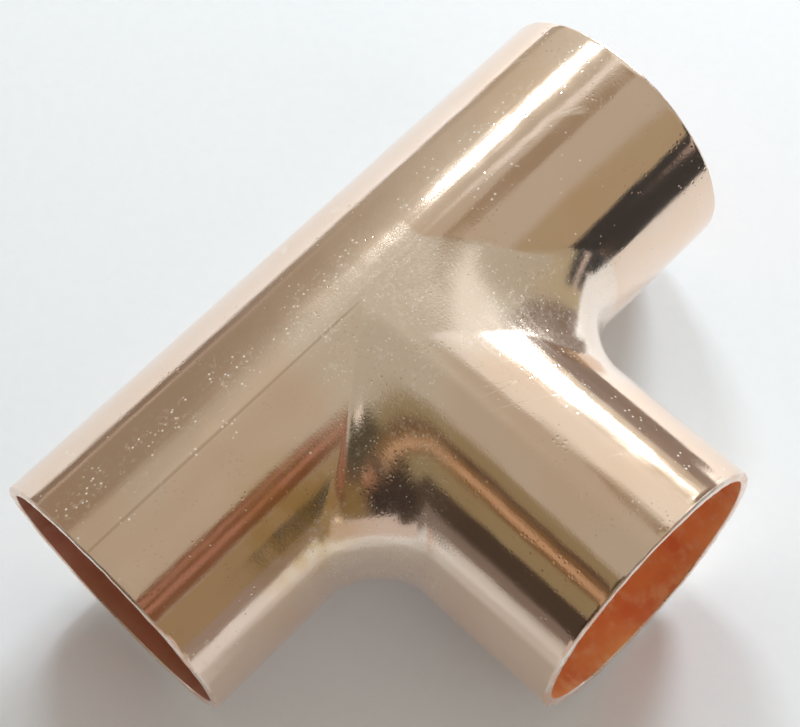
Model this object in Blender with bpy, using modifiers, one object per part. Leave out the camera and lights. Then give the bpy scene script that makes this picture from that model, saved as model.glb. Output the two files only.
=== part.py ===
"""Equal tee fitting for a 1-inch copper water tube, with three capillary solder sockets.

The fitting is formed from one piece of tube, so the model is one solid. It lies on its side:
the run's axis is along X, the branch points along -Y, and +Z is up. The origin is at the
bottom centre of the fitting's bounding box, on the surface that it lies on.
"""

import math

import bmesh
import bpy
from mathutils import Euler, Vector

# Driving dimensions, in metres
BODY_RADIUS = 0.0154        # outside radius of the run and of the branch
RUN_HALF_LENGTH = 0.0381    # branch axis to either end of the run
BRANCH_LENGTH = 0.0389      # run axis to the end of the branch
CROTCH_RADIUS = 0.0059      # outside radius of the blend between the run and the branch
WALL = 0.0016               # wall of the body between the sockets
SOCKET_RADIUS = 0.01435     # bore that the tube slides into
SOCKET_DEPTH = 0.0231       # end face to the tube stop
MOUTH_CHAMFER = 0.00015     # at the socket's mouth
RIM_CHAMFER = 0.00025       # at the outer edge of the end face
STOP_CHAMFER = 0.0004       # in the corner of the tube stop

# Fineness of the surface
QUARTER_STEPS = 16          # facets on a quarter turn of the tube
BLEND_STEPS = 7             # facets across the blend

TRIM = 0.0015               # stock past each end face, which the socket cutter faces off
CUTTER_REACH = 0.003        # how far the cutter extends past the stock
MERGE = 0.00001             # merge distance

RUN_CENTRE = Vector((0.0, (BRANCH_LENGTH - BODY_RADIUS) / 2.0, BODY_RADIUS))

COPPER = (0.72, 0.46, 0.32, 1.0)
COPPER_ROUGHNESS = 0.2


def clear_scene():
    for old in list(bpy.data.objects):
        bpy.data.objects.remove(old, do_unlink=True)


def new_collection(name):
    collection = bpy.data.collections.new(name)
    bpy.context.scene.collection.children.link(collection)
    return collection


def copper_material():
    material = bpy.data.materials.new("polished_copper")
    material.use_nodes = True
    shader = material.node_tree.nodes["Principled BSDF"]
    shader.inputs["Base Color"].default_value = COPPER
    shader.inputs["Metallic"].default_value = 1.0
    shader.inputs["Roughness"].default_value = COPPER_ROUGHNESS
    material.diffuse_color = COPPER
    return material


def front_line(angle, radius, blend, trim):
    """One line of a tee's front, from the run's end over the blend to the branch's end.

    The blend is the surface of a ball that rolls in the corner, touching both cylinders.
    angle is the ball's place: 0 on top of the tee, where the two cylinders already meet
    smoothly, and a quarter turn at the crotch. The line starts and ends on a tube's axis,
    so that it closes the ends too.
    """
    run_end = RUN_HALF_LENGTH + trim
    branch_end = BRANCH_LENGTH + trim
    reach = radius + blend
    side = radius * math.sin(angle)
    height = radius * math.cos(angle)
    ball = Vector((reach * math.sin(angle), -reach * math.sin(angle), reach * math.cos(angle)))
    to_run = (Vector((ball.x, -side, height)) - ball).normalized()
    to_branch = (Vector((side, ball.y, height)) - ball).normalized()
    line = [Vector((run_end, 0.0, 0.0)), Vector((run_end, -side, height))]
    for step in range(BLEND_STEPS + 1):
        share = step / BLEND_STEPS
        spoke = to_run.slerp(to_branch, share) if angle > 0.0 else to_run
        line.append(ball + blend * spoke)
    line.append(Vector((side, -branch_end, height)))
    line.append(Vector((0.0, -branch_end, 0.0)))
    return line


def back_line(angle, radius, trim):
    """One line of the run's back, angle being measured from the top."""
    run_end = RUN_HALF_LENGTH + trim
    side = radius * math.sin(angle)
    height = radius * math.cos(angle)
    end_of_line = Vector((run_end, side, height))
    return [Vector((run_end, 0.0, 0.0)), end_of_line, Vector((0.0, side, height))]


def skin(mesh_builder, lines):
    """Quads between neighbouring lines that have the same number of points."""
    rows = [[mesh_builder.verts.new(point) for point in line] for line in lines]
    for row, following in zip(rows, rows[1:]):
        for here in range(len(row) - 1):
            corners = (row[here], row[here + 1], following[here + 1], following[here])
            mesh_builder.faces.new(corners)


def solid_tee(name, collection, radius, blend, trim):
    """A solid tee: its quarter where x >= 0 and z >= 0, open at those planes and mirrored."""
    angles = [step * math.pi / 2.0 / QUARTER_STEPS for step in range(QUARTER_STEPS + 1)]
    mesh_builder = bmesh.new()
    skin(mesh_builder, [front_line(angle, radius, blend, trim) for angle in angles])
    skin(mesh_builder, [back_line(angle, radius, trim) for angle in reversed(angles)])
    bmesh.ops.remove_doubles(mesh_builder, verts=mesh_builder.verts, dist=MERGE)
    mesh = bpy.data.meshes.new(name)
    mesh_builder.to_mesh(mesh)
    mesh_builder.free()
    tee = bpy.data.objects.new(name, mesh)
    collection.objects.link(tee)
    tee.location = RUN_CENTRE
    mirror = tee.modifiers.new("whole_tee", "MIRROR")
    mirror.use_axis = (True, False, True)
    mirror.use_clip = True
    mirror.merge_threshold = MERGE
    return tee


def subtract(body, cutter):
    cutter.hide_render = True
    cutter.display_type = "WIRE"
    cut = body.modifiers.new(cutter.name, "BOOLEAN")
    cut.operation = "DIFFERENCE"
    cut.solver = "EXACT"
    cut.object = cutter


def socket_cutter_mesh():
    """A turned cutter that bores a socket to its tube stop and faces its end flat.

    It is turned about Z. z = 0 is the end face, and the socket runs down from it. The profile
    starts half a facet round from X, so the cutter's edges don't fall on the body's.
    """
    half_facet = math.pi / 4.0 / QUARTER_STEPS
    outside = BODY_RADIUS + CUTTER_REACH
    profile = (
        (0.0, TRIM + CUTTER_REACH),
        (outside, TRIM + CUTTER_REACH),
        (outside, -RIM_CHAMFER - (outside - BODY_RADIUS)),
        (BODY_RADIUS - RIM_CHAMFER, 0.0),
        (SOCKET_RADIUS + MOUTH_CHAMFER, 0.0),
        (SOCKET_RADIUS, -MOUTH_CHAMFER),
        (SOCKET_RADIUS, STOP_CHAMFER - SOCKET_DEPTH),
        (SOCKET_RADIUS - STOP_CHAMFER, -SOCKET_DEPTH),
        (0.0, -SOCKET_DEPTH),
    )
    mesh = bpy.data.meshes.new("socket_cutter")
    edges = [(index, index + 1) for index in range(len(profile) - 1)]
    points = [
        (radius * math.cos(half_facet), radius * math.sin(half_facet), height)
        for radius, height in profile
    ]
    mesh.from_pydata(points, edges, [])
    return mesh


def socket_cutter(name, mesh, collection, place, turn):
    cutter = bpy.data.objects.new(name, mesh)
    collection.objects.link(cutter)
    cutter.location = place
    cutter.rotation_euler = turn
    screw = cutter.modifiers.new("turned", "SCREW")
    screw.axis = "Z"
    screw.steps = 4 * QUARTER_STEPS
    screw.render_steps = 4 * QUARTER_STEPS
    screw.use_merge_vertices = True
    screw.merge_threshold = MERGE
    return cutter


def bore_sockets(body, collection):
    quarter = math.pi / 2.0
    mesh = socket_cutter_mesh()
    ends = (
        ("run_left", Vector((-RUN_HALF_LENGTH, 0.0, 0.0)), Euler((0.0, -quarter, 0.0))),
        ("run_right", Vector((RUN_HALF_LENGTH, 0.0, 0.0)), Euler((0.0, quarter, 0.0))),
        ("branch", Vector((0.0, -BRANCH_LENGTH, 0.0)), Euler((quarter, 0.0, 0.0))),
    )
    for name, end, turn in ends:
        place = RUN_CENTRE + end
        subtract(body, socket_cutter(name + "_socket", mesh, collection, place, turn))


def build():
    clear_scene()
    parts = new_collection("tee_fitting")
    cutters = new_collection("tee_fitting_cutters")
    body = solid_tee("tee_body", parts, BODY_RADIUS, CROTCH_RADIUS, TRIM)
    hollow = solid_tee("hollow", cutters, BODY_RADIUS - WALL, CROTCH_RADIUS + WALL, 2.0 * TRIM)
    subtract(body, hollow)
    bore_sockets(body, cutters)
    clean = body.modifiers.new("clean_cuts", "WELD")
    clean.merge_threshold = MERGE
    body.data.materials.append(copper_material())
    body.data.shade_smooth()
    body.data.set_sharp_from_angle(angle=math.radians(30.0))


build()
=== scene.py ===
"""Visual model of the copper tee fitting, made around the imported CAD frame.

The tee's outer skin, end rims and bores are one fine mesh on the CAD's own dimensions. It lies
on a plain pale floor, in a soft studio that polished copper can reflect.
"""

import math

import bmesh
import bpy
import numpy as np
from mathutils import Euler, Matrix, Vector, noise


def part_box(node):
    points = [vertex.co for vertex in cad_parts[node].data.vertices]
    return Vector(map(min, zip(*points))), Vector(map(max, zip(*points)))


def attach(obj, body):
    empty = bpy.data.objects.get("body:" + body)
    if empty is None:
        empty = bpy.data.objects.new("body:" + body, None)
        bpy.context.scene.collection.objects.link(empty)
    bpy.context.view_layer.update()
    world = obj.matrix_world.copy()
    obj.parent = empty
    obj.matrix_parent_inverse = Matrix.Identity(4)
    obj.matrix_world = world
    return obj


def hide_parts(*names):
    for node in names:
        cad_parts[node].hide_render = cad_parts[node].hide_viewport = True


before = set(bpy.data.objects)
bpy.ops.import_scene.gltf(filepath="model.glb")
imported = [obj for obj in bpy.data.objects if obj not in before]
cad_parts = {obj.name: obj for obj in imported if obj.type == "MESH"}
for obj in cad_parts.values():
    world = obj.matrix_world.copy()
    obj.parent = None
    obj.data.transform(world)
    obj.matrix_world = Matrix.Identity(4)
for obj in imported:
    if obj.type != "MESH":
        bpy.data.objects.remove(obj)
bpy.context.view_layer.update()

# ---------------------------------------------------------------- dimensions, in metres

BOX_LOW, BOX_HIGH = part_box("tee_body")
RADIUS = (BOX_HIGH.z - BOX_LOW.z) / 2.0         # outside radius of the run and the branch
RUN_HALF = BOX_HIGH.x                           # branch axis to either end of the run
CENTRE = Vector((0.0, BOX_HIGH.y - RADIUS, BOX_LOW.z + RADIUS))     # where the axes cross
BRANCH = CENTRE.y - BOX_LOW.y                   # run axis to the branch's end

BLEND_REACH = 1.383         # where the CAD's 5.9 mm blend ends at the crotch, in tube radii
FLAT = 0.50 * RADIUS        # how far out the blend's flat top reaches
# A blend's shape: how much of the dip across it is filled up, and how much fuller it is than
# a rolling ball's arc halfway down.
PLAIN_SHAPE = (0.0, 0.0)
RIGHT_SHAPE = (0.65, 0.0)
LEFT_SHAPE = (0.0, 0.35)
# Where the blends end: degrees down from the top, and how far out in tube radii. The fitting
# isn't quite symmetric: the right blend is wide, and the left one is wider on the branch.
PLAIN_EDGE = tuple((turn, BLEND_REACH * math.sin(math.radians(turn)))
                   for turn in range(0, 91, 5))
RIGHT_EDGE = ((0, 0.50), (10, 0.66), (20, 0.79), (28, 0.89), (36, 1.04), (44, 1.24),
              (52, 1.37), (60, 1.42), (70, 1.42), (80, 1.40), (90, BLEND_REACH))
LEFT_RUN_EDGE = ((0, 0.0), (10, 0.24), (20, 0.473), (30, 0.69), (38, 0.875), (46, 1.09),
                 (55, 1.30), (65, 1.395), (75, 1.405), (90, BLEND_REACH))
LEFT_BRANCH_EDGE = ((0, 0.50), (10, 0.69), (20, 0.90), (30, 1.06), (38, 1.14), (46, 1.225),
                    (55, 1.33), (65, 1.395), (75, 1.405), (90, BLEND_REACH))
WALL = 0.0016               # body wall between the sockets
BORE = 0.01435              # socket bore radius
SOCKET = 0.0231             # socket depth
RIM_OUTER = 0.00030         # rounding of the end face's outer edge
RIM_INNER = 0.00022         # rounding of the end face's inner edge
STOP_ROUND = 0.00035        # rounding at the foot of the tube stop
STOP_ROUND_SHARE = 0.6      # the most of a stop's height that its rounding takes
WIDE_FADE = 0.006           # how far past a blend the worked metal's satin fades out
SHORT_FADE = 0.0006         # the same on the run's right side, where it ends sharply
BACK_FADE = 0.30            # the same on the run's back, in radians past the top

# Formed tube is never quite true: layers of noise, each a height in metres and a fineness.
WAVES = ((0.000014, 190.0), (0.000006, 520.0))
NICKS = ((0.00005, 900.0), (0.00006, 240.0))
NICKED = 0.0007             # how far in from an end its nicks reach

# ---------------------------------------------------------------- fineness of the mesh

QUARTER = 72                # facets on a quarter turn of a tube
ARC_STEPS = 16              # across half of the crotch blend
STRAIGHT_STEPS = 54         # along a straight stretch outside
RIM_STEPS = 4               # round each edge of an end face
BORE_STEPS = 18             # along a socket
STOP_STEPS = 3              # round the foot of a tube stop
HOLLOW_STEPS = 16           # from a tube stop to the middle of the body
ON_TOP = 1e-4               # a line is the top one when its angle is nearer 0 than this
MERGE = 2e-6                # merge distance


def smoothstep(low, high, value):
    share = np.clip((value - low) / (high - low), 0.0, 1.0)
    return share * share * (3.0 - 2.0 * share)


# ---------------------------------------------------------------- the tee's lines
#
# The mesh is made of half lines side by side. A half line starts outside, on the plane where
# the run and the branch meet, runs out to an end, turns in over the rim, and comes back
# through the socket and the hollow body to the same plane. All of them are worked out around
# the point where the axes cross, for an end at +X and for z >= 0, and then mirrored. A point
# is x, y, z and how far its metal was worked when the branch was formed, from 0 to 1.

def on_run(x, radius, angle):
    """A point on a cylinder round the run's axis, angle 0 being the top."""
    return np.array([x, -radius * math.sin(angle), radius * math.cos(angle)])


def smooth_curve(table, at):
    """The value at a place on a smooth curve through a table of (place, value) pairs."""
    places, values = np.array(table, float).T
    slopes = np.gradient(values, places)
    here = min(int(np.searchsorted(places, at, "right")) - 1, len(places) - 2)
    step = places[here + 1] - places[here]
    share = (at - places[here]) / step
    rest = 1.0 - share
    return float(values[here] * rest * rest * (1.0 + 2.0 * share)
                 + values[here + 1] * share * share * (1.0 + 2.0 * rest)
                 + step * share * rest * (rest * slopes[here] - share * slopes[here + 1]))


def blend(angle, tube_radius, own, other, shape, steps):
    """Half of the blend's curve, from its middle to the run's cylinder.

    It touches the run at own and the branch at other. In the plain shape it is a rolling
    ball's arc where the two are the same.
    """
    fill, fullness = shape
    side, height = math.sin(angle), math.cos(angle)
    inner = tube_radius * side
    run_end = np.array([own, -inner, tube_radius * height])
    branch_end = np.array([inner, -other, tube_radius * height])
    squared, mean = height * height, (own + other) / 2.0
    spread = (own - inner) ** 2 + (other - inner) ** 2
    corner = mean - spread / (2.0 * (mean - inner) * (1.0 + squared))
    even_corner = (mean * squared + inner) / (1.0 + squared)
    corner_height = height * (2.0 * tube_radius - mean * side) / (1.0 + squared)
    if own != other:
        corner_height -= (corner - even_corner) * side / height
    peak = np.array([corner, -corner, corner_height])
    weight = math.sqrt((1.0 + squared) / 2.0) * (1.0 - fullness * (2.0 * side * height) ** 2)
    points = []
    for share in np.linspace(0.5, 1.0, steps + 1):
        parts = ((1.0 - share) ** 2, 2.0 * share * (1.0 - share) * weight, share ** 2)
        point = (parts[0] * branch_end + parts[1] * peak + parts[2] * run_end) / sum(parts)
        point[2] += fill * squared * (tube_radius * height - point[2])
        points.append(point)
    return points


def rim_profile():
    """(radius, setback) round an end, from the skin over the end face to the bore."""
    turns = np.linspace(0.0, math.pi / 2.0, RIM_STEPS + 1)
    outer = [(RADIUS - RIM_OUTER * (1.0 - math.cos(turn)), RIM_OUTER * (1.0 - math.sin(turn)))
             for turn in turns[1:]]
    inner = [(BORE + RIM_INNER * (1.0 - math.sin(turn)), RIM_INNER * (1.0 - math.cos(turn)))
             for turn in turns]
    return outer + inner


def cut_by_socket(curve, stop):
    """What a socket's cut leaves of a hollow line that is read from its mouth inwards."""
    for here in range(len(curve) - 1):
        a, b = curve[here], curve[here + 1]
        radius_a, radius_b = math.hypot(a[1], a[2]), math.hypot(b[1], b[2])
        shares = []
        if b[0] <= stop:
            shares.append((a[0] - stop) / (a[0] - b[0]))
        if radius_b >= BORE:
            shares.append((BORE - radius_a) / (radius_b - radius_a))
        if shares:
            return [a + (b - a) * max(0.0, min(shares))] + curve[here + 1:]
    raise ValueError("a hollow line never reaches its tube stop")


def resample(points, steps):
    points = np.array(points)
    along = np.concatenate([[0.0], np.cumsum(np.linalg.norm(np.diff(points, axis=0), axis=1))])
    wanted = np.linspace(0.0, along[-1], steps + 1)
    return [np.array([np.interp(at, along, points[:, axis]) for axis in range(3)])
            for at in wanted]


def socket_line(length, angle, foot):
    """A line down a socket's bore and round the foot of its tube stop, to the point foot."""
    foot_angle = math.atan2(-foot[1], foot[2])
    height = max(0.0, BORE - math.hypot(foot[1], foot[2]))
    size = min(STOP_ROUND, STOP_ROUND_SHARE * height)
    points = []
    for share in np.linspace(0.0, 1.0, BORE_STEPS + 1)[1:]:
        x = length - RIM_INNER + (foot[0] + size - length + RIM_INNER) * share
        points.append(on_run(x, BORE, angle + (foot_angle - angle) * share))
    for turn in np.linspace(0.0, math.pi / 2.0, STOP_STEPS + 1)[1:]:
        drop, rise = size * (1.0 - math.cos(turn)), size * (1.0 - math.sin(turn))
        points.append(on_run(foot[0] + rise, BORE - drop, foot_angle))
    return points


def half_line(angle, length, own_edge, other_edge, shape, fade):
    """One half line to an end at x = length, as rows of x, y, z and working.

    A negative angle is on the run's plain back. The working fades over the distance fade past
    the blend's edge.
    """
    hollow_radius = RADIUS - WALL
    turn = math.degrees(abs(angle))
    worked = 1.0
    hollow_arc = [on_run(0.0, hollow_radius, angle)] * 2
    if angle < -ON_TOP:
        flat = RADIUS * own_edge[0][1]
        arc = [on_run(x, RADIUS, angle) for x in np.linspace(0.0, flat, ARC_STEPS + 1)]
        worked = float(smoothstep(-BACK_FADE, 0.0, angle))
    else:
        own = RADIUS * smooth_curve(own_edge, turn)
        other = RADIUS * smooth_curve(other_edge, turn)
        arc = blend(angle, RADIUS, own, other, shape, ARC_STEPS)
    if angle > ON_TOP:
        plain = RADIUS * smooth_curve(PLAIN_EDGE, turn)
        hollow_arc = blend(angle, hollow_radius, plain, plain, PLAIN_SHAPE, 4 * ARC_STEPS)
    skin_ends = np.linspace(arc[-1][0], length - RIM_OUTER, STRAIGHT_STEPS + 1)
    skin = arc + [on_run(x, RADIUS, angle) for x in skin_ends[1:]]
    rim = [on_run(length - setback, radius, angle) for radius, setback in rim_profile()]
    curve = [on_run(length, hollow_radius, angle)] + hollow_arc[::-1]
    hollow = resample(cut_by_socket(curve, length - SOCKET), HOLLOW_STEPS)
    line = np.array(skin + rim + socket_line(length, angle, hollow[0]) + hollow)
    edge = max(arc[-1][0], FLAT)
    working = worked * (1.0 - smoothstep(0.0, fade, line[:, 0] - edge))
    working[len(skin):] = 0.0
    return np.column_stack([line, working])


def branch_side(line):
    """Turns a half line of the run, or rows of them, into the branch's."""
    turned = line.copy()
    turned[..., 0], turned[..., 1] = -line[..., 1], -line[..., 0]
    return turned


def flat_top():
    """The flat triangle between the right blend and the place where the left one begins."""
    rows = []
    for spread in np.linspace(0.0, FLAT, ARC_STEPS + 1):
        run = np.array(blend(0.0, RADIUS, spread, FLAT, PLAIN_SHAPE, ARC_STEPS))
        branch = branch_side(np.array(blend(0.0, RADIUS, FLAT, spread, PLAIN_SHAPE, ARC_STEPS)))
        row = np.concatenate([run[::-1], branch[1:]])
        rows.append(np.column_stack([row, np.ones(len(row))]))
    return np.array(rows)


SKIN_FACES = ARC_STEPS + STRAIGHT_STEPS
RIM_FACES = 2 * RIM_STEPS + 1


def back_top(line, edge):
    """The run's top line, which is the back's first: line with its blend laid on y = 0."""
    top = line.copy()
    top[:ARC_STEPS + 1, 0] = np.linspace(0.0, RADIUS * edge[0][1], ARC_STEPS + 1)
    top[:ARC_STEPS + 1, 1] = 0.0
    return top


def tee_mesh(name):
    """The whole tee as one closed mesh. Its materials are skin, rim and bore, in that order."""
    mesh_builder = bmesh.new()
    working = mesh_builder.verts.layers.float.new("working")
    turns = np.linspace(0.0, math.pi / 2.0, QUARTER + 1)
    sides = ((1.0, RIGHT_EDGE, RIGHT_EDGE, RIGHT_SHAPE, SHORT_FADE),
             (-1.0, LEFT_RUN_EDGE, LEFT_BRANCH_EDGE, LEFT_SHAPE, WIDE_FADE))
    for side, run_edge, branch_edge, shape, fade in sides:
        run = np.array([half_line(turn, RUN_HALF, run_edge, branch_edge, shape, fade)
                        for turn in turns])
        branch = np.array([half_line(turn, BRANCH, branch_edge, run_edge, shape, WIDE_FADE)
                           for turn in turns])
        back = np.array([half_line(-turn, RUN_HALF, run_edge, branch_edge, shape, fade)
                         for turn in turns[1:]])
        back = np.concatenate([back_top(run[0], run_edge)[None], back])
        for sheet in (run, branch_side(branch), back):
            for mirror_z in (1.0, -1.0):
                add_sheet(mesh_builder, working, sheet * np.array([side, 1.0, mirror_z, 1.0]))
    for mirror_z in (1.0, -1.0):
        add_sheet(mesh_builder, working, flat_top() * np.array([1.0, 1.0, mirror_z, 1.0]))
    bmesh.ops.remove_doubles(mesh_builder, verts=mesh_builder.verts, dist=MERGE)
    bmesh.ops.recalc_face_normals(mesh_builder, faces=mesh_builder.faces)
    ripple(mesh_builder)
    mesh = bpy.data.meshes.new(name)
    mesh_builder.to_mesh(mesh)
    mesh_builder.free()
    return mesh


def add_sheet(mesh_builder, working, sheet):
    """Quads between neighbouring lines of a sheet, which has one half line to a row."""
    rows = []
    for line in sheet:
        row = [mesh_builder.verts.new(point[:3]) for point in line]
        for vertex, point in zip(row, line):
            vertex[working] = point[3]
        rows.append(row)
    for row, following in zip(rows, rows[1:]):
        for here in range(len(row) - 1):
            corners = (row[here], row[here + 1], following[here + 1], following[here])
            face = mesh_builder.faces.new(corners)
            face.smooth = True
            if here >= SKIN_FACES + RIM_FACES:
                face.material_index = 2
            elif here >= SKIN_FACES:
                face.material_index = 1


def unevenness(place, layers):
    return sum(height * noise.noise(place * fineness) for height, fineness in layers)


def ripple(mesh_builder):
    """Shallow waves all over, and rims that aren't cut quite clean."""
    mesh_builder.normal_update()
    moves = []
    for vertex in mesh_builder.verts:
        place = vertex.co
        to_end = min(RUN_HALF - abs(place.x), place.y + BRANCH)
        ragged = unevenness(place, NICKS) * (1.0 - float(smoothstep(0.0, NICKED, to_end)))
        moves.append(vertex.normal * (unevenness(place, WAVES) + ragged))
    for vertex, move in zip(mesh_builder.verts, moves):
        vertex.co += move


# ---------------------------------------------------------------- node helpers

class Nodes:
    """Small helpers to write a node tree as formulas."""

    def __init__(self, tree):
        self.tree = tree

    def add(self, kind, **settings):
        node = self.tree.nodes.new(kind)
        for key, value in settings.items():
            setattr(node, key, value)
        return node

    def put(self, socket, value):
        if isinstance(value, bpy.types.NodeSocket):
            self.tree.links.new(value, socket)
        else:
            socket.default_value = value

    def math(self, operation, *values):
        node = self.add("ShaderNodeMath", operation=operation)
        for socket, value in zip(node.inputs, values):
            self.put(socket, value)
        return node.outputs[0]

    def times(self, first, *others):
        for other in others:
            first = self.math("MULTIPLY", first, other)
        return first

    def most(self, first, *others):
        for other in others:
            first = self.math("MAXIMUM", first, other)
        return first

    def ramp(self, value, low, high, to_low=0.0, to_high=1.0):
        """A smooth step from to_low to to_high as value goes from low to high."""
        node = self.add("ShaderNodeMapRange", interpolation_type="SMOOTHSTEP", clamp=True)
        for socket, item in zip(node.inputs, (value, low, high, to_low, to_high)):
            self.put(socket, item)
        return node.outputs[0]

    def near(self, value, middle, inner, outer):
        """1 closer to middle than inner, and 0 farther from it than outer."""
        off = self.math("ABSOLUTE", self.math("SUBTRACT", value, middle))
        return self.ramp(off, inner, outer, 1.0, 0.0)

    def mix(self, share, first, second, mode="MIX"):
        node = self.add("ShaderNodeMix", data_type="RGBA", blend_type=mode)
        self.put(node.inputs[0], share)
        self.put(node.inputs[6], first)
        self.put(node.inputs[7], second)
        return node.outputs[2]

    def noise(self, place, scale, detail=2.0):
        node = self.add("ShaderNodeTexNoise")
        self.put(node.inputs["Vector"], place)
        node.inputs["Scale"].default_value = scale
        node.inputs["Detail"].default_value = detail
        return node.outputs[0]

    def dots(self, place, scale, size):
        """1 at the middle of scattered dots, 0 from the distance size (in cells) outwards."""
        node = self.add("ShaderNodeTexVoronoi")
        self.put(node.inputs["Vector"], place)
        node.inputs["Scale"].default_value = scale
        return self.ramp(node.outputs["Distance"], 0.0, size, 1.0, 0.0)

    def split(self, vector):
        node = self.add("ShaderNodeSeparateXYZ")
        self.put(node.inputs[0], vector)
        return node.outputs

    def join(self, x, y, z):
        node = self.add("ShaderNodeCombineXYZ")
        for socket, value in zip(node.inputs, (x, y, z)):
            self.put(socket, value)
        return node.outputs[0]

    def bump(self, height, distance, before=None):
        """A bump of distance metres for a height of 1, laid over the bumps before it."""
        node = self.add("ShaderNodeBump")
        node.inputs["Strength"].default_value = 1.0
        node.inputs["Distance"].default_value = distance
        self.put(node.inputs["Height"], height)
        if before is not None:
            self.put(node.inputs["Normal"], before)
        return node.outputs[0]


def new_material(name):
    material = bpy.data.materials.new(name)
    material.use_nodes = True
    shader = material.node_tree.nodes["Principled BSDF"]
    nodes = Nodes(material.node_tree)
    place = nodes.add("ShaderNodeTexCoord").outputs["Object"]
    return material, shader, nodes, place


# ---------------------------------------------------------------- materials

SKIN = (0.94, 0.75, 0.63)           # polished copper
SKIN_WARM = (0.93, 0.71, 0.56)      # where it has begun to tarnish
SKIN_WORKED = (0.97, 0.82, 0.71)    # the satin saddle
BLOTCH = (0.80, 0.60, 0.42)
PIT = (0.55, 0.36, 0.24)
YELLOWED = (0.78, 0.56, 0.30)
DIE_LINE_PAINTED_SHADE = (0.50, 0.34, 0.24)      # painted shade in the line that the drawing die left
SCUFF_AND_GLINT = (1.0, 0.94, 0.86)         # scuff marks and dust, with painted glints and a painted sheen
STAIN = (-0.0210, -0.0114, 0.0104)  # the middle of a yellow stain by the left crotch
DIE_LINE = -0.0006                  # the die's line, measured round the run from its top
RIM = (0.97, 0.86, 0.79)
RIM_WORN = (0.90, 0.66, 0.52)
BORE_LIGHT = (1.0, 0.62, 0.33)
BORE_MID = (0.98, 0.48, 0.20)
BORE_DARK = (0.88, 0.32, 0.15)
BORE_OXIDE_AND_SHADE = (0.42, 0.20, 0.17)     # the left socket is duller: oxidised, and darker still as painted shade


def tube_coordinates(nodes, place):
    """Distance along and round whichever tube a point is on, with a share for the branch."""
    x, y, z = nodes.split(place)
    beyond = nodes.math("SUBTRACT", nodes.times(y, -1.0), nodes.math("ABSOLUTE", x))
    on_branch = nodes.ramp(beyond, -0.0015, 0.0015)
    round_run = nodes.times(nodes.math("ARCTAN2", y, z), RADIUS)
    round_branch = nodes.times(nodes.math("ARCTAN2", x, z), RADIUS)
    return x, y, round_run, round_branch, on_branch


def drawn_lines(nodes, tubes):
    """Fine lines that the drawing die left along both tubes."""
    x, y, round_run, round_branch, on_branch = tubes
    run_lines, branch_lines = (
        nodes.noise(nodes.join(nodes.times(along, 0.03), across, seed), 1700.0, 3.0)
        for along, across, seed in ((x, round_run, 0.3), (y, round_branch, 0.7))
    )
    return nodes.mix(on_branch, run_lines, branch_lines)


def die_line(nodes, x, y, round_run):
    """One deeper line along the left of the run's top."""
    line = nodes.near(round_run, DIE_LINE, 0.0, 0.00026)
    return nodes.times(line, nodes.ramp(x, -0.004, 0.0, 1.0, 0.0), nodes.ramp(y, -0.012, -0.008))


# Two sets of scratches: how far they are turned, how drawn out, how fine, their own slice of
# the noise, and how fine the patches are that they lie in.
SCRATCHES = ((0.5, 0.05, 260.0, 0.0, 110.0), (-0.9, 0.07, 190.0, 0.011, 140.0))


def scratch_marks(nodes, place, working):
    """Long thin scratches in a few patches, and none where the metal was worked."""
    marks = 0.0
    for turn, stretch, scale, part, patch_scale in SCRATCHES:
        tilted = nodes.add("ShaderNodeVectorRotate", rotation_type="Z_AXIS")
        nodes.put(tilted.inputs["Vector"], place)
        tilted.inputs["Angle"].default_value = turn
        x, y, z = nodes.split(tilted.outputs[0])
        level = nodes.noise(nodes.join(nodes.times(x, stretch), y, part), scale, 1.0)
        where = nodes.ramp(nodes.noise(place, patch_scale, 1.0), 0.60, 0.68)
        where = nodes.times(where, nodes.ramp(working, 0.0, 0.5, 1.0, 0.0))
        marks = nodes.most(marks, nodes.times(nodes.near(level, 0.5, 0.0, 0.004), where))
    return marks


def branch_painted_glints(nodes, place, y, round_branch):
    """Painted glints: fine pale specks down the right side of the branch, beside its highlight,
    which fade out towards its rim.
    """
    zone = nodes.times(nodes.near(round_branch, 0.0076, 0.0004, 0.0020),
                       nodes.ramp(y, -0.034, -0.018),
                       nodes.ramp(y, -0.0105, -0.0085, 1.0, 0.0))
    return nodes.times(nodes.dots(place, 3400.0, 0.46),
                       nodes.ramp(nodes.noise(place, 1500.0, 1.0), 0.40, 0.60), zone)


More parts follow.
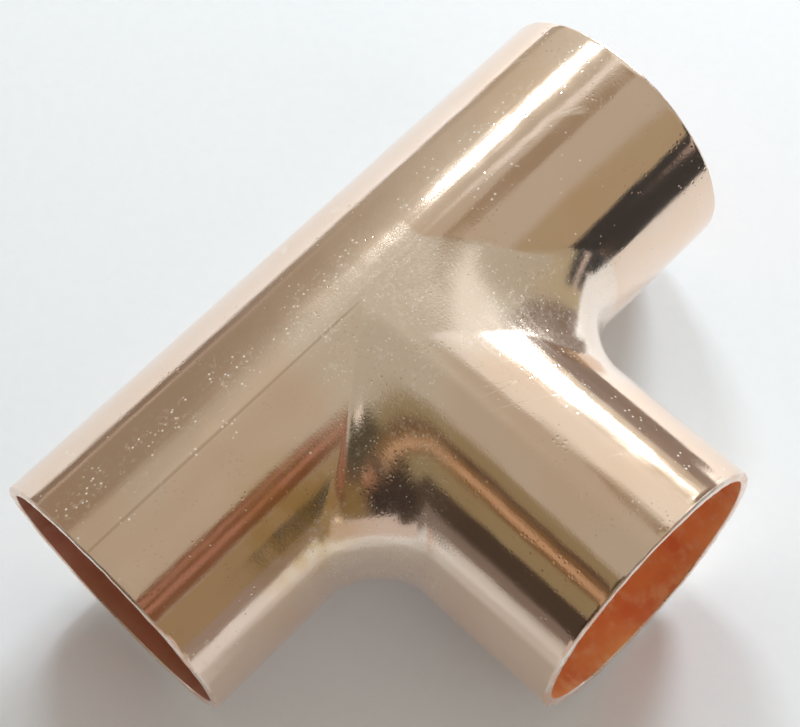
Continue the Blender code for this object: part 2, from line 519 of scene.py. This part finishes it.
def pale_marks_and_painted_glints(nodes, place, working, tubes):
    """Marks that scatter light: dust and scuff marks, with painted glints and a painted sheen
    laid where highlights fall, so they look light whatever the polished metal round them mirrors.
    """
    x, y, round_run, round_branch, on_branch = tubes
    patchy = nodes.noise(place, 330.0, 2.0)
    # Stripes where highlights fall, and one by the die line: the pale dots laid in them are
    # painted glints among scuff marks.
    back_glint_band = nodes.near(round_run, 0.0036, 0.0006, 0.0042)
    branch_glint_band = nodes.near(round_branch, 0.0090, 0.0006, 0.0020)
    by_die_line = nodes.times(nodes.near(round_run, DIE_LINE, 0.0003, 0.0007), 0.9)
    glint_band = nodes.most(nodes.mix(on_branch, back_glint_band, branch_glint_band), by_die_line)
    glint_band = nodes.math("ADD", nodes.times(glint_band, 0.19), patchy)
    scuffs_and_glints = nodes.times(nodes.dots(place, 1500.0, 0.33), nodes.ramp(glint_band, 0.62, 0.72))
    dust = nodes.times(nodes.dots(place, 2100.0, 0.34),
                       nodes.ramp(nodes.noise(place, 700.0, 2.0), 0.42, 0.58),
                       nodes.ramp(working, 0.2, 1.0, 0.15, 0.8))
    # Painted sheen: a fine pale mottle on the back's glint stripe and on the worked saddle.
    painted_sheen = nodes.times(nodes.most(nodes.times(back_glint_band, 0.9), working),
                        nodes.ramp(patchy, 0.40, 0.60, 0.10, 0.30),
                        nodes.ramp(nodes.noise(place, 1900.0, 2.0), 0.50, 0.68))
    return nodes.most(scuffs_and_glints, branch_painted_glints(nodes, place, y, round_branch), dust, painted_sheen)


def stain_share(nodes, place):
    """How yellow the stain by the left crotch is at a place."""
    away = nodes.add("ShaderNodeVectorMath", operation="DISTANCE")
    nodes.put(away.inputs[0], place)
    away.inputs[1].default_value = STAIN
    return nodes.times(nodes.ramp(away.outputs["Value"], 0.0020, 0.0095, 1.0, 0.0),
                       nodes.ramp(nodes.noise(place, 420.0, 3.0), 0.34, 0.60, 0.45, 1.0))


def skin_colour(nodes, place, working, blotches, pits, die_line_and_shade, pale_marks_and_glints):
    """Copper that tarnishes in clouds, paler where it was worked, with its marks on top: painted
    shade along the die line, and pale marks that are partly painted glints and sheen.
    """
    tarnish = nodes.ramp(nodes.noise(place, 75.0, 2.0), 0.42, 0.68)
    colour = nodes.mix(tarnish, (*SKIN, 1.0), (*SKIN_WARM, 1.0))
    for share, tone in (
        (working, SKIN_WORKED),
        (nodes.ramp(blotches, 0.3, 0.75, 0.0, 0.10), BLOTCH),
        (nodes.times(pits, 0.25), PIT),
        (stain_share(nodes, place), YELLOWED),
        # Painted shade: darker along the die line.
        (nodes.times(die_line_and_shade, 0.45), DIE_LINE_PAINTED_SHADE),
        # Dust and scuff marks, with painted glints and sheen.
        (pale_marks_and_glints, SCUFF_AND_GLINT),
    ):
        colour = nodes.mix(share, colour, (*tone, 1.0))
    return colour


def skin_roughness(nodes, working, blotches, lines, grain, scratches):
    """Polished, but rougher in the drawn lines, in scratches and where it was worked."""
    rough = nodes.ramp(blotches, 0.35, 0.70, 0.075, 0.115)
    satin = nodes.times(working, nodes.ramp(grain, 0.3, 0.7, 0.03, 0.08))
    for more in (nodes.ramp(lines, 0.45, 0.75, 0.0, 0.035), satin, nodes.times(scratches, 0.08)):
        rough = nodes.math("ADD", rough, more)
    return rough


def skin_material():
    """Bright drawn copper: draw lines, pits, scratches, scuff marks, tarnish and a satin saddle,
    with painted glints, a painted sheen and painted shade along the die line.
    """
    material, shader, nodes, place = new_material("polished_copper_skin")
    tubes = tube_coordinates(nodes, place)
    working = nodes.add("ShaderNodeAttribute", attribute_name="working").outputs["Fac"]
    lines = drawn_lines(nodes, tubes)
    grain = nodes.noise(place, 4200.0, 2.0)
    blotches = nodes.noise(place, 210.0, 3.0)
    pits = nodes.times(nodes.dots(place, 1500.0, 0.34),
                       nodes.ramp(nodes.noise(place, 130.0, 1.0), 0.50, 0.66))
    specks = nodes.times(nodes.dots(place, 900.0, 0.13), nodes.ramp(blotches, 0.46, 0.60))
    scratches = scratch_marks(nodes, place, working)
    die_line_and_shade = die_line(nodes, *tubes[:3])
    # Pale marks, partly painted glints and sheen, and pale scratches.
    pale_marks_and_glints = nodes.most(pale_marks_and_painted_glints(nodes, place, working, tubes), nodes.times(scratches, 0.3))

    colour = skin_colour(nodes, place, working, blotches, pits, die_line_and_shade, pale_marks_and_glints)
    nodes.put(shader.inputs["Base Color"], colour)
    nodes.put(shader.inputs["Metallic"], nodes.ramp(pale_marks_and_glints, 0.0, 1.0, 1.0, 0.15))
    rough = skin_roughness(nodes, working, blotches, lines, grain, scratches)
    nodes.put(shader.inputs["Roughness"], rough)
    normal = nodes.bump(lines, 0.0000035)
    for height, distance in (
        (nodes.times(grain, nodes.ramp(working, 0.0, 1.0, 0.5, 1.0)), 0.0000065),
        (pits, -0.000010),
        (specks, -0.000016),
        (scratches, -0.0000022),
        (die_line_and_shade, 0.000012),
    ):
        normal = nodes.bump(height, distance, normal)
    nodes.put(shader.inputs["Normal"], normal)
    return material


def rim_material():
    """The cut ends: pale, slightly coarse, and darker in worn patches."""
    material, shader, nodes, place = new_material("cut_copper_rim")
    coarse = nodes.noise(place, 1100.0, 3.0)
    worn = nodes.noise(place, 320.0, 2.0)
    colour = nodes.mix(nodes.ramp(worn, 0.35, 0.7), (*RIM, 1.0), (*RIM_WORN, 1.0))
    nodes.put(shader.inputs["Base Color"], colour)
    shader.inputs["Metallic"].default_value = 1.0
    nodes.put(shader.inputs["Roughness"], nodes.ramp(coarse, 0.3, 0.7, 0.24, 0.42))
    nodes.put(shader.inputs["Normal"], nodes.bump(coarse, 0.00002))
    return material


def bore_material():
    """Unpolished insides: annealed copper, mottled orange and red-brown and oxidised, with the
    left socket darkened further as painted shade.
    """
    material, shader, nodes, place = new_material("bare_copper_bore")
    broad = nodes.noise(place, 150.0, 3.0)
    fine = nodes.noise(place, 620.0, 4.0)
    colour = nodes.mix(nodes.ramp(broad, 0.36, 0.60), (*BORE_DARK, 1.0), (*BORE_MID, 1.0))
    colour = nodes.mix(nodes.ramp(fine, 0.45, 0.72), colour, (*BORE_LIGHT, 1.0))
    # The left socket: oxidised copper, darkened further as painted shade.
    left_oxide_and_shade = nodes.ramp(nodes.split(place)[0], -0.022, -0.014, 0.75, 0.0)
    colour = nodes.mix(left_oxide_and_shade, colour, (*BORE_OXIDE_AND_SHADE, 1.0))
    nodes.put(shader.inputs["Base Color"], colour)
    shader.inputs["Metallic"].default_value = 0.45
    nodes.put(shader.inputs["Roughness"], nodes.ramp(fine, 0.3, 0.7, 0.34, 0.52))
    normal = nodes.bump(broad, 0.00010)
    nodes.put(shader.inputs["Normal"], nodes.bump(fine, 0.00004, normal))
    return material


# ---------------------------------------------------------------- studio

FLOOR = (0.90, 0.94, 0.985)
FLOOR_FIBRE = (0.885, 0.925, 0.97)
FLOOR_GLOW = (0.045, 0.055, 0.065)  # a light table's: it lightens the shadows a little
FLOOR_SIZE = 4.0
FLOOR_GAP = 0.00005                 # keeps the floor clear of the ripples in the tee's skin


def make_floor():
    bpy.ops.mesh.primitive_plane_add(size=FLOOR_SIZE, location=(0.0, 0.0, BOX_LOW.z - FLOOR_GAP))
    floor = bpy.context.object
    floor.name = "floor"
    material, shader, nodes, place = new_material("pale_floor")
    paper = nodes.noise(place, 600.0, 3.0)
    tone = nodes.mix(nodes.ramp(paper, 0.3, 0.7), (*FLOOR, 1.0), (*FLOOR_FIBRE, 1.0))
    nodes.put(shader.inputs["Base Color"], tone)
    shader.inputs["Roughness"].default_value = 0.6
    nodes.put(shader.inputs["Normal"], nodes.bump(paper, 0.00002))
    shader.inputs["Emission Color"].default_value = (*FLOOR_GLOW, 1.0)
    shader.inputs["Emission Strength"].default_value = 1.0
    floor.data.materials.append(material)


def direction(azimuth, elevation):
    """A unit vector: azimuth 0 is +Y and 90 is +X, both in degrees."""
    azimuth, elevation = math.radians(azimuth), math.radians(elevation)
    level = math.cos(elevation)
    return Vector((level * math.sin(azimuth), level * math.cos(azimuth), math.sin(elevation)))


# What the room looks like to the copper, later patches in front of earlier ones. Each has the
# azimuths and elevations it spans, how soft its sides and its top and bottom are (all in
# degrees) and its colour.
CEILING = (0.45, 0.45, 0.40)
ROOM = (
    ("right_wall", 24, 98, 5, 71, 16, 6, (0.64, 0.68, 0.64)),
    ("back_wall", -80, 17, 6, 50, 12, 10, (0.31, 0.28, 0.23)),
    ("back_skirting", -80, 16, -3, 6, 8, 2, (0.25, 0.22, 0.19)),
    ("back_ledge", -80, 16, 7, 9, 8, 1, (0.50, 0.47, 0.43)),
    ("bright_ceiling", 30, 165, 48, 80, 40, 20, (0.485, 0.485, 0.435)),
    ("window_glow", 54, 95, 34, 58, 6, 5, (0.84, 0.90, 0.90)),
    ("lamp_shade", 63, 93, 62, 69.5, 3, 3, (0.33, 0.29, 0.22)),
    ("gap_light", 43, 62, 56.5, 60, 5, 2, (0.85, 0.93, 0.97)),
    ("right_cupboard", 62, 107, -20, 10, 5, 4, (0.29, 0.27, 0.27)),
    ("right_shelf", 81, 107, 7, 29, 4, 3, (0.23, 0.20, 0.175)),
    ("right_corner", 107, 148, -6, 34, 3, 10, (0.44, 0.42, 0.31)),
    ("front_wall", 158, 205, -5, 34, 8, 3, (0.31, 0.26, 0.17)),
    ("front_right_wall", 140, 158, 20, 50, 8, 8, (0.40, 0.37, 0.27)),
    ("sleeve", 160, 207, 35, 57, 7, 4, (0.19, 0.10, 0.06)),
    ("sleeve_fold_low", 160, 207, 42.5, 46.5, 7, 2, (0.38, 0.22, 0.17)),
    ("sleeve_fold_high", 160, 207, 50, 53.5, 7, 2, (0.34, 0.20, 0.15)),
    ("jacket", 205, 300, -4, 30, 6, 6, (0.065, 0.052, 0.042)),
    ("left_wall", 262, 320, 28, 66, 6, 4, (0.27, 0.24, 0.15)),
    ("left_skirting", 262, 310, -8, 9, 8, 4, (0.20, 0.18, 0.17)),
    ("hand", 200, 262, 30, 57, 6, 5, (0.12, 0.085, 0.06)),
    ("thumb", 232, 248, 46, 54, 6, 4, (0.34, 0.20, 0.13)),
    ("lapel", 203, 229, 24, 50, 6, 5, (0.22, 0.17, 0.09)),
    ("left_shelf", 262, 310, 41, 57, 6, 3, (0.18, 0.12, 0.06)),
    ("left_shelf_light", 262, 310, 44.5, 49.5, 6, 2, (0.50, 0.36, 0.24)),
    ("left_shelf_edge", 280, 302, 53.5, 57, 6, 2, (0.10, 0.07, 0.055)),
    ("jacket_shoulder", 233, 276, 18, 43, 6, 4, (0.04, 0.033, 0.03)),
    ("camera_body", 196, 276, 56, 70.5, 8, 2, (0.075, 0.07, 0.048)),
    ("flash", 222, 262, 71.5, 73.5, 6, 1.5, (1.3, 1.3, 1.3)),
    ("low_lamp", 196, 204, 17, 24, 3, 3, (1.8, 1.8, 1.8)),
    ("dark_box", 121, 170, -16, 21, 4, 3, (0.045, 0.05, 0.055)),
    ("dark_box_edge", 119, 152, 8, 12.5, 3, 2, (0.60, 0.55, 0.53)),
)
WARMTH = (0.99, 0.91, 0.84)         # the room's lamp colour
BACKDROP = (0.86, 0.87, 0.89)


def room_patch(nodes, azimuth, elevation, start, end, low, high, side_soft, top_soft):
    """1 in the directions that a patch covers and 0 outside it, with soft edges between."""
    turned = nodes.math("SUBTRACT", azimuth, (start + end) / 2.0)
    turned = nodes.math("WRAP", turned, 180.0, -180.0)
    return nodes.times(
        nodes.near(turned, 0.0, (end - start - side_soft) / 2.0, (end - start + side_soft) / 2.0),
        nodes.near(elevation, (low + high) / 2.0, (high - low - top_soft) / 2.0,
                   (high - low + top_soft) / 2.0),
    )


def make_surroundings():
    """What the copper reflects: a warm room with patches. The camera sees a plain backdrop."""
    world = bpy.data.worlds.new("studio")
    bpy.context.scene.world = world
    world.use_nodes = True
    tree = world.node_tree
    tree.nodes.clear()
    nodes = Nodes(tree)
    x, y, z = nodes.split(nodes.add("ShaderNodeTexCoord").outputs["Generated"])
    azimuth = nodes.math("DEGREES", nodes.math("ARCTAN2", x, y))
    elevation = nodes.math("DEGREES", nodes.math("ARCSINE", z))
    colour = (*CEILING, 1.0)
    for name, *extent, tone in ROOM:
        share = room_patch(nodes, azimuth, elevation, *extent)
        colour = nodes.mix(share, colour, (*tone, 1.0))
    colour = nodes.mix(1.0, colour, (*WARMTH, 1.0), "MULTIPLY")
    seen = nodes.add("ShaderNodeLightPath").outputs["Is Camera Ray"]
    colour = nodes.mix(seen, colour, (*BACKDROP, 1.0))
    background = nodes.add("ShaderNodeBackground")
    nodes.put(background.inputs[0], colour)
    output = nodes.add("ShaderNodeOutputWorld")
    tree.links.new(background.outputs[0], output.inputs[0])


# The window is two strips, each with the directions of its two ends, its height and its power.
WINDOW_DISTANCE = 0.75
WINDOW_COLOUR = (0.88, 0.95, 1.0)
WINDOWS = (
    ("window", (32, 42.5), (47, 38.0), 0.056, 1.5),
    ("side_window", (65, 27.5), (74.5, 17.0), 0.22, 4.2),
)
FILL_FROM = (176, 36)
FILL_DISTANCE = 1.2
FILL_SIZE = 0.8
FILL_POWER = 1.7
FILL_COLOUR = (1.0, 0.99, 0.98)


def area_lamp(name, power, colour):
    """An area light that the camera doesn't see, as its data and its object."""
    light = bpy.data.lights.new(name, "AREA")
    light.energy = power
    light.color = colour
    lamp = bpy.data.objects.new(name, light)
    bpy.context.collection.objects.link(lamp)
    lamp.visible_camera = False
    return light, lamp


def window_light(name, left, right, height, power):
    """A strip light between two directions, each an azimuth and an elevation."""
    left, right = direction(*left) * WINDOW_DISTANCE, direction(*right) * WINDOW_DISTANCE
    light, lamp = area_lamp(name, power, WINDOW_COLOUR)
    light.shape = "RECTANGLE"
    light.size, light.size_y = (right - left).length, height
    middle = (left + right) / 2.0
    along = (right - left).normalized()
    away = (middle - along * middle.dot(along)).normalized()
    turn = Matrix((along, away.cross(along), away)).transposed()
    lamp.location = CENTRE + middle
    lamp.rotation_euler = turn.to_euler()


def fill_light():
    """A broad light that softens the shadows and that polished copper doesn't mirror."""
    light, lamp = area_lamp("fill", FILL_POWER, FILL_COLOUR)
    light.size = FILL_SIZE
    towards = direction(*FILL_FROM)
    lamp.location = CENTRE + towards * FILL_DISTANCE
    lamp.rotation_euler = towards.to_track_quat("Z", "Y").to_euler()
    lamp.visible_glossy = False


# Low cards just off the picture, seen only in the copper: name, middle, length, height, turn
# about Z in degrees and colour.
LOW_CARDS = (
    ("front_card", (0.075, -0.165), 0.21, 0.035, 0.0, (0.30, 0.27, 0.25)),
    ("right_card", (0.120, 0.042), 0.12, 0.028, 90.0, (0.27, 0.25, 0.24)),
    ("left_card", (-0.140, 0.115), 0.21, 0.028, 90.0, (0.21, 0.19, 0.18)),
    ("sheet_card", (-0.104, -0.116), 0.15, 0.082, -42.0, (0.56, 0.53, 0.52)),
    ("sheet_end", (-0.150, -0.050), 0.06, 0.042, -72.0, (0.56, 0.53, 0.52)),
    ("dark_card", (0.080, -0.100), 0.040, 0.033, 20.0, (0.045, 0.05, 0.055)),
)


def low_card(name, middle, length, height, turn, tone):
    bpy.ops.mesh.primitive_plane_add(size=1.0)
    card = bpy.context.object
    card.name = name
    card.scale = (length, height, 1.0)
    card.location = (CENTRE.x + middle[0], CENTRE.y + middle[1], BOX_LOW.z + height / 2.0)
    card.rotation_euler = (math.radians(90.0), 0.0, math.radians(turn))
    material = bpy.data.materials.new(name)
    material.use_nodes = True
    tree = material.node_tree
    tree.nodes.clear()
    glow = tree.nodes.new("ShaderNodeEmission")
    glow.inputs["Color"].default_value = (*[a * b for a, b in zip(tone, WARMTH)], 1.0)
    output = tree.nodes.new("ShaderNodeOutputMaterial")
    tree.links.new(glow.outputs[0], output.inputs[0])
    card.data.materials.append(material)
    card.visible_camera = False
    card.visible_diffuse = False
    card.visible_shadow = False


# ---------------------------------------------------------------- camera

CAMERA_FROM_CENTRE = Vector((-3.423, -4.289, 11.470)) * RADIUS
CAMERA_TURN = Euler((math.radians(25.04), math.radians(2.49), math.radians(-45.70)))
CAMERA_LENS = 81.8          # millimetres, on a sensor of this width
SENSOR_WIDTH = 36.0
CLIP_START = 0.01


def make_camera():
    camera_data = bpy.data.cameras.new("camera")
    camera_data.lens = CAMERA_LENS
    camera_data.sensor_width = SENSOR_WIDTH
    camera_data.clip_start = CLIP_START
    camera = bpy.data.objects.new("camera", camera_data)
    bpy.context.collection.objects.link(camera)
    camera.location = CENTRE + CAMERA_FROM_CENTRE
    camera.rotation_euler = CAMERA_TURN
    bpy.context.scene.camera = camera


def make_tee():
    tee = bpy.data.objects.new("copper_tee", tee_mesh("copper_tee"))
    bpy.context.collection.objects.link(tee)
    tee.location = CENTRE
    for material in (skin_material(), rim_material(), bore_material()):
        tee.data.materials.append(material)
    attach(tee, "root")
    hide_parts("tee_body")


bpy.context.scene.view_settings.view_transform = "Standard"
make_camera()
make_surroundings()
for window in WINDOWS:
    window_light(*window)
fill_light()
make_floor()
for card in LOW_CARDS:
    low_card(*card)
make_tee()
